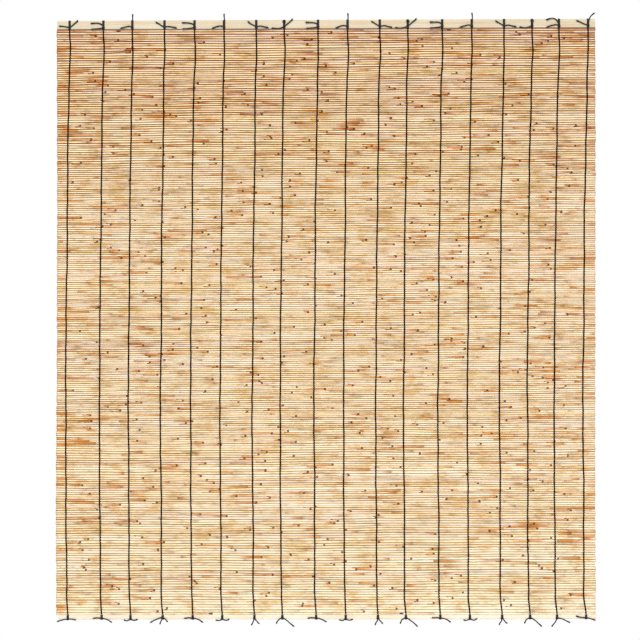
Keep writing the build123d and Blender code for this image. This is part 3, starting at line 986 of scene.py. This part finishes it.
def tie_mesh(name, x, lath, limits, knot_z, tails, knobbed, rng):
    """A tie's mesh: two turns round the lath side by side, the knot, its tails and their frayed ends.

    lath is its lowest and highest corner, and limits are the heights that the turns stay between.
    A knobbed tie has a larger knot as well, at the lath's upper edge.
    """
    low, high = lath
    loops = round_the_lath(low, high, [x - LOOP_APART, x + LOOP_APART])
    strands = sweep(loops, np.array(RIGHT), *LOOP_TWINE, sides=8, closed=True)
    strands[..., 2] = np.clip(strands[..., 2], *limits)
    meshes = [tube_mesh(name, strands, closed=True, along=lengths_along(loops))]
    centre = np.array([x, FRONT_Y - KNOT_STAND_OFF, knot_z])
    meshes.append(knot_mesh(name, centre, rng.uniform(*KNOT_SIZES), rng))
    if knobbed:
        knob = np.array([x, FRONT_Y - KNOT_STAND_OFF, high[2] - KNOB_BELOW_EDGE])
        meshes.append(knot_mesh(name, knob, KNOB_SIZE, rng))
    paths = tail_paths(centre, tails, rng)
    along = lengths_along(paths)
    sides = 8
    ply = 1 + PLY_RELIEF * np.cos(2 * around(sides) + 2 * np.pi * along[..., None] / PLY_LENGTH)
    loosened = 1 + LOOSENING * smooth_step((along / along[:, -1:] - LOOSE_FROM) / LOOSE_RUN)
    radius = TAIL_RADIUS * ply * loosened[..., None]
    meshes.append(tube_mesh(name, sweep(paths, np.array(VIEWER), radius, radius, sides), along=along))
    fibres = frayed_ends(paths, rng)
    thin = FIBRE_RADIUS * (1 - FIBRE_TAPER * np.linspace(0, 1, fibres.shape[1]))[:, None]
    slanting = np.array([0.13, -1.0, 0.21])
    meshes.append(tube_mesh(name, sweep(fibres, slanting, thin, thin, 4), along=lengths_along(fibres)))
    return joined(name, meshes)


class BLIND_OT_stage(bpy.types.Operator):
    """Sets the camera as the photograph was taken, with soft lamps, a white sky and a pale floor"""

    bl_idname = "blind.stage"
    bl_label = "Set the stage"

    def execute(self, context):
        scene, stage = context.scene, context.scene.blind_stage
        middle_x = (PICTURE_SIDE / 2 - BLIND_MIDDLE_COLUMN) * PIXEL
        middle_z = SLAT_HIGH[2] - (PICTURE_SIDE / 2 - SLAT_TOP_ROW) * PIXEL
        middle = Vector((middle_x, FRONT_Y, middle_z))
        camera = bpy.data.objects.new("camera", bpy.data.cameras.new("camera"))
        camera.data.sensor_width = FILM_WIDTH
        camera.data.lens = camera.data.sensor_width * stage.distance / (PICTURE_SIDE * PIXEL)
        turned = Matrix.Rotation(stage.yaw, 3, "Z")
        camera.location = middle + turned @ Vector((0.0, -stage.distance, 0.0))
        upright = Matrix.Rotation(stage.roll, 3, "Y") @ Matrix.Rotation(math.pi / 2, 3, "X")
        camera.rotation_euler = (turned @ upright).to_euler()
        scene.collection.objects.link(camera)
        scene.camera = camera
        self.lamp(scene, "key_lamp", stage.key_power, KEY_PLACE, middle_z)
        self.lamp(scene, "side_lamp", stage.key_power * SIDE_SHARE, SIDE_PLACE, middle_z)
        self.lamp(scene, "back_lamp", stage.fill_power, BACK_PLACE, middle_z)
        self.sky(scene, stage.sky)
        self.floor(scene, stage)
        scene.view_settings.view_transform = "Standard"
        return {"FINISHED"}

    def lamp(self, scene, name, power, place_at, middle_z):
        """A square lamp that faces the blind's middle and isn't seen itself."""
        light = bpy.data.lights.new(name, "AREA")
        light.energy = power
        light.size = LAMP_SIDE
        right, behind, above = place_at
        lamp = bpy.data.objects.new(name, light)
        lamp.location = Vector((right, behind, middle_z + above))
        towards = Vector((0.0, 0.0, middle_z)) - lamp.location
        lamp.rotation_euler = towards.to_track_quat("-Z", "Y").to_euler()
        lamp.visible_camera = False
        scene.collection.objects.link(lamp)

    def sky(self, scene, strength):
        """Light from all round, seen as white by the camera and by transmission rays."""
        world = bpy.data.worlds.new("sky")
        scene.world = world
        world.use_nodes = True
        tree = world.node_tree
        back = tree.nodes["Background"]
        back.inputs["Color"].default_value = (1.0, 1.0, 1.0, 1.0)
        path = tree.nodes.new("ShaderNodeLightPath")
        seen = tree.nodes.new("ShaderNodeMath")
        seen.operation = "MAXIMUM"
        tree.links.new(path.outputs["Is Camera Ray"], seen.inputs[0])
        tree.links.new(path.outputs["Is Transmission Ray"], seen.inputs[1])
        level = tree.nodes.new("ShaderNodeMapRange")
        level.inputs["To Min"].default_value = strength
        level.inputs["To Max"].default_value = 1.0
        tree.links.new(seen.outputs[0], level.inputs["Value"])
        tree.links.new(level.outputs["Result"], back.inputs["Strength"])

    def floor(self, scene, stage):
        """A pale floor below the blind: an even grid in X and Y at one height."""
        reach = np.linspace(-FLOOR_HALF, FLOOR_HALF, FLOOR_LINES)
        x, y = np.meshgrid(reach, reach)
        z = np.full_like(x, FOOT_LOW[2] - stage.drop)
        points = np.stack([x, y, z], axis=-1).reshape(-1, 3)
        index = np.arange(FLOOR_LINES**2).reshape(FLOOR_LINES, FLOOR_LINES)
        faces = np.stack([index[:-1, :-1], index[:-1, 1:], index[1:, 1:], index[1:, :-1]], axis=-1)
        mesh = bpy.data.meshes.new("floor")
        mesh.from_pydata(points.tolist(), [], faces.reshape(-1, 4).tolist())
        m = Nodes("pale_floor", 0.8)
        cloud = m.noise(m.object_place((3.0, 3.0, 3.0)), 3.0)
        darker = rgba([0.98 * part for part in stage.floor])
        m.link(m.mix(m.stretch(cloud, 0.3, 0.7, 0.0, 1.0), rgba(stage.floor), darker), "Base Color")
        mesh.materials.append(m.material)
        floor = bpy.data.objects.new("floor", mesh)
        scene.collection.objects.link(floor)


class BLIND_OT_reeds(bpy.types.Operator):
    """Lays every reed stem of the mat, in three pieces from the top down"""

    bl_idname = "blind.reeds"
    bl_label = "Lay the reeds"

    def execute(self, context):
        reed = context.scene.blind_reed
        rng = np.random.default_rng(reed.seed + 1)
        stems = stem_shapes(reed, rng)
        ring_colours = stem_colours(reed, stems, rng)
        # Each ring's colour times the painted shade of the valleys between courses
        colours = ring_colours[:, :, None, :] * painted_valley_shade(stems, rng)[:, None]
        seeds = rng.uniform(*SEEDS, len(stems.course))
        points_each = stems.rings.shape[1] * STEM_SIDES
        material = reed_material()
        thirds = stems.course * 3 // (stems.course.max() + 1)
        for part, name in enumerate(("reeds_upper", "reeds_middle", "reeds_lower")):
            chosen = thirds == part
            mesh = tube_mesh(name, stems.rings[chosen])
            add_point_data(mesh, "stem_colour", colours[chosen].reshape(-1, 3))
            add_point_data(mesh, "stem_seed", np.repeat(seeds[chosen], points_each))
            place(mesh, material, "mat", "natural_reed", "reed_mat")
        # A dark strip under the top slat, painted shade in that joint
        self.shade_strip(reed, material)
        return {"FINISHED"}

    def shade_strip(self, reed, material):
        """A thin dark strip, a circle carried along X, that closes the joint under the top slat: painted
        shade there.
        """
        rings = 40
        x = np.linspace(MAT_LOW[0], MAT_HIGH[0], rings)
        z = np.full(rings, TOP_HINGE_Z + SHADE_STRIP_ABOVE_HINGE - SHADE_STRIP_RADIUS)
        path = np.stack([x, np.full(rings, MIDDLE_Y), z], axis=-1)[None]
        points = sweep(path, np.array(VIEWER), SHADE_STRIP_RADIUS, SHADE_STRIP_RADIUS, STEM_SIDES)
        mesh = tube_mesh("reed_splint", points)
        count = len(mesh.vertices)
        add_point_data(mesh, "stem_colour", np.broadcast_to(linear(reed.cut), (count, 3)))
        add_point_data(mesh, "stem_seed", np.zeros(count))
        place(mesh, material, "mat", "natural_reed", "reed_mat")


class BLIND_OT_twines(bpy.types.Operator):
    """Twines both strands of every warp twine round the courses"""

    bl_idname = "blind.twines"
    bl_label = "Wind the twines"

    def execute(self, context):
        scene = context.scene
        twine = scene.blind_twine
        material = twine_material(twine.black)
        paths = twine_paths(scene.blind_reed, twine)
        from_start = np.arange(paths.shape[2])
        from_end = np.minimum(from_start, from_start[::-1])
        taper = np.where(from_end < TAPERED_RINGS, STRAND_TAPER, 1.0)[:, None]
        for number, node in enumerate(TWINE_NODES):
            strands = paths[number]
            rings = sweep(strands, np.array(RIGHT), twine.half_thickness * taper, twine.half_width, sides=5)
            mesh = tube_mesh(f"warp_{node}", rings, along=lengths_along(strands))
            place(mesh, material, "mat", "black_twine", node)
        return {"FINISHED"}


class BLIND_OT_ties(bpy.types.Operator):
    """Ties every twine round the top slat and the bottom slat, with its knot and tails"""

    bl_idname = "blind.ties"
    bl_label = "Tie the ends"

    def execute(self, context):
        twine = context.scene.blind_twine
        material = bpy.data.materials["black_twine"]
        rng = np.random.default_rng(twine.seed + 1)
        top_slat, foot_slat = (SLAT_LOW, SLAT_HIGH), (FOOT_LOW, FOOT_HIGH)
        above_mat = TOP_HINGE_Z + TIE_SETBACK, math.inf
        below_mat = -math.inf, FOOT_HINGE_Z - TIE_SETBACK
        top_knot_z = SLAT_LOW[2] + TOP_KNOT_ABOVE_EDGE
        foot_lean = lean_at(FOOT_HINGE_Z)
        for number, x in enumerate(TWINE_X):
            label = f"{number + 1:02d}"
            kind = TOP_TIE_ORDER[number]
            name = f"knotted_top_{label}"
            knobbed = kind in KNOBBED_TIES
            mesh = tie_mesh(name, x, top_slat, above_mat, top_knot_z, TOP_TAILS[kind], knobbed, rng)
            place(mesh, material, "top_slat", "black_twine", f"top_tie_{label}")
            kind = FOOT_TIE_ORDER[number]
            name = f"knotted_foot_{label}"
            knot_z = FOOT_LOW[2] + FOOT_KNOTS_ABOVE_EDGE[kind] * MM
            foot_x = x + foot_lean
            mesh = tie_mesh(name, foot_x, foot_slat, below_mat, knot_z, FOOT_TAILS[kind], False, rng)
            place(mesh, material, "bottom_slat", "black_twine", f"bottom_tie_{label}")
        return {"FINISHED"}


class BLIND_OT_laths(bpy.types.Operator):
    """Gives the two laths their planed wood"""

    bl_idname = "blind.laths"
    bl_label = "Finish the laths"

    def execute(self, context):
        lath = context.scene.blind_lath
        # Painted shade along the top slat's lower edge, where the first course meets it
        shaded_edge = SLAT_LOW[2] + 0.6 * MM, SLAT_LOW[2] + 1.8 * MM
        finishes = {
            "top_slat": lath_material("slat_wood", lath.top_pale, lath.top_dark, shaded_edge),
            "bottom_slat": lath_material("bleached_slat_wood", lath.foot_pale, lath.foot_dark),
        }
        for node, material in finishes.items():
            slots = frame["nodes"][node].material_slots
            for one in slots:
                one.material = material
        return {"FINISHED"}


class BLIND_PT_panel(bpy.types.Panel):
    """The blind's settings and steps"""

    bl_label = "Reed blind"
    bl_idname = "BLIND_PT_panel"
    bl_space_type = "VIEW_3D"
    bl_region_type = "UI"
    bl_category = "Reed blind"

    def draw(self, context):
        scene = context.scene
        for group, operator in (
            (scene.blind_stage, "blind.stage"),
            (scene.blind_reed, "blind.reeds"),
            (scene.blind_twine, "blind.twines"),
            (scene.blind_twine, "blind.ties"),
            (scene.blind_lath, "blind.laths"),
        ):
            box = self.layout.box()
            box.operator(operator)
            for name in group.__annotations__:
                box.prop(group, name)


CLASSES = (
    ReedProperties,
    TwineProperties,
    LathProperties,
    StageProperties,
    BLIND_OT_stage,
    BLIND_OT_reeds,
    BLIND_OT_twines,
    BLIND_OT_ties,
    BLIND_OT_laths,
    BLIND_PT_panel,
)
GROUPS = {
    "blind_reed": ReedProperties,
    "blind_twine": TwineProperties,
    "blind_lath": LathProperties,
    "blind_stage": StageProperties,
}


def register():
    for one in CLASSES:
        bpy.utils.register_class(one)
    for name, group in GROUPS.items():
        setattr(bpy.types.Scene, name, PointerProperty(type=group))


def unregister():
    for name in GROUPS:
        delattr(bpy.types.Scene, name)
    for one in reversed(CLASSES):
        bpy.utils.unregister_class(one)


def main():
    register()
    bpy.ops.blind.stage()
    bpy.ops.blind.reeds()
    bpy.ops.blind.twines()
    bpy.ops.blind.ties()
    bpy.ops.blind.laths()


if __name__ == "__main__":
    main()
